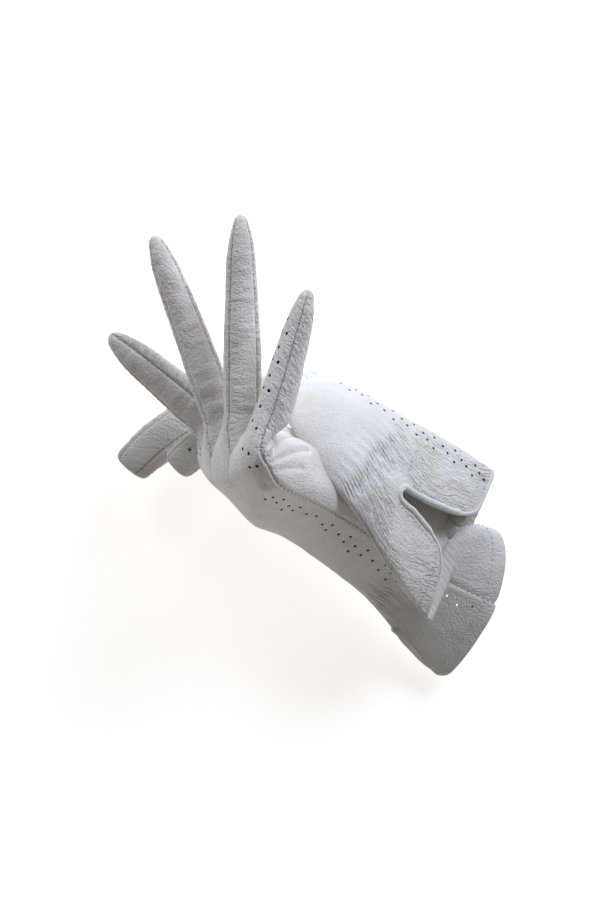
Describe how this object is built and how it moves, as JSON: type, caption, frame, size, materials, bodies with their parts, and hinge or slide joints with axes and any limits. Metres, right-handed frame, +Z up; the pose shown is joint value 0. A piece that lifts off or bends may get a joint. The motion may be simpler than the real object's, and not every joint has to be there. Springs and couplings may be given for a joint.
{
  "type": "golf glove pair",
  "caption": "Pair of white leather golf gloves laid together: a right glove with fanned fingers folded round a left glove, with open cuffs, bound wrist vents and perforated backs.",
  "frame": {"origin": "on the table, under the middle of the pair's footprint", "axes": "+Z up from the table; +Y the way the right glove's ring finger points; +X towards the cuffs"},
  "size_m": [0.1544, 0.173, 0.0835],
  "materials": {
    "back_leather": "fine pebble grain, soft sheen",
    "palm_leather": "fine pebble grain, soft sheen",
    "side_leather": "wrinkled, soft sheen",
    "binding_leather": "smooth, rolled",
    "hem_tape": "matt",
    "elastic": "matt",
    "thread": "matt"
  },
  "bodies": {
    "left_hand": {"left_back_hem_tape": "hem_tape", "left_back_panel": "back_leather", "left_palm_hem_tape": "hem_tape", "left_palm_panel": "palm_leather", "left_side_seam_thread": "thread", "left_vent_binding": "binding_leather", "left_wrist_elastic": "elastic"},
    "left_index": {"left_index_back": "back_leather", "left_index_palm": "palm_leather", "left_index_ulnar_fourchette": "side_leather"},
    "left_little": {"left_little_back": "back_leather", "left_little_palm": "palm_leather", "left_little_radial_fourchette": "side_leather"},
    "left_middle": {"left_middle_back": "back_leather", "left_middle_palm": "palm_leather", "left_middle_radial_fourchette": "side_leather", "left_middle_ulnar_fourchette": "side_leather"},
    "left_ring": {"left_ring_back": "back_leather", "left_ring_palm": "palm_leather", "left_ring_radial_fourchette": "side_leather", "left_ring_ulnar_fourchette": "side_leather"},
    "left_thumb": {"left_thumb_back": "back_leather", "left_thumb_palm": "palm_leather"},
    "right_hand": {"right_back_hem_tape": "hem_tape", "right_back_panel": "back_leather", "right_palm_hem_tape": "hem_tape", "right_palm_panel": "palm_leather", "right_side_seam_thread": "thread", "right_vent_binding": "binding_leather", "right_wrist_elastic": "elastic"},
    "right_index": {"right_index_back": "back_leather", "right_index_palm": "palm_leather", "right_index_ulnar_fourchette": "side_leather"},
    "right_little": {"right_little_back": "back_leather", "right_little_palm": "palm_leather", "right_little_radial_fourchette": "side_leather"},
    "right_middle": {"right_middle_back": "back_leather", "right_middle_palm": "palm_leather", "right_middle_radial_fourchette": "side_leather", "right_middle_ulnar_fourchette": "side_leather"},
    "right_ring": {"right_ring_back": "back_leather", "right_ring_palm": "palm_leather", "right_ring_radial_fourchette": "side_leather", "right_ring_ulnar_fourchette": "side_leather"},
    "right_thumb": {"right_thumb_back": "back_leather", "right_thumb_palm": "palm_leather"}
  },
  "joints": [
    {"name": "right_index_bend", "type": "hinge", "parent": "right_hand", "child": "right_index", "pos_m": [-0.03388, 0.00953, 0.036], "axis": [0, 0, 1], "range_deg": [-35, 8]},
    {"name": "right_middle_bend", "type": "hinge", "parent": "right_hand", "child": "right_middle", "pos_m": [-0.03088, 0.00782, 0.0494], "axis": [0, 0, 1], "range_deg": [-42, 30]},
    {"name": "right_ring_bend", "type": "hinge", "parent": "right_hand", "child": "right_ring", "pos_m": [-0.02538, 0.00753, 0.0628], "axis": [0, 0, 1], "range_deg": [-38, 48]},
    {"name": "right_little_bend", "type": "hinge", "parent": "right_hand", "child": "right_little", "pos_m": [-0.01648, 0.00772, 0.0762], "axis": [0, 0, 1], "range_deg": [-9, 60]},
    {"name": "right_thumb_bend", "type": "hinge", "parent": "right_hand", "child": "right_thumb", "pos_m": [0.01562, -0.03198, 0.0046], "axis": [0, 0, 1], "range_deg": [-5, 40]},
    {"name": "left_index_bend", "type": "hinge", "parent": "left_hand", "child": "left_index", "pos_m": [-0.00888, 0.02513, 0.0032], "axis": [0, 0, 1], "range_deg": [-70, 12]},
    {"name": "left_middle_bend", "type": "hinge", "parent": "left_hand", "child": "left_middle", "pos_m": [-0.00938, 0.02472, 0.0103], "axis": [0, 0, 1], "range_deg": [-70, 12]},
    {"name": "left_ring_bend", "type": "hinge", "parent": "left_hand", "child": "left_ring", "pos_m": [-0.00988, 0.02402, 0.0173], "axis": [0, 0, 1], "range_deg": [-70, 12]},
    {"name": "left_little_bend", "type": "hinge", "parent": "left_hand", "child": "left_little", "pos_m": [-0.01018, 0.02212, 0.0246], "axis": [0, 0, 1], "range_deg": [-70, 12]},
    {"name": "left_thumb_bend", "type": "hinge", "parent": "left_hand", "child": "left_thumb", "pos_m": [0.04732, -0.01887, 0.0049], "axis": [0, 0, 1], "range_deg": [-8, 12]},
    {"name": "left_glove_pull_out", "type": "slide", "parent": "right_hand", "child": "left_hand", "axis": [0.6112, 0.7915, 0], "range_m": [0, 0.03]}
  ]
}
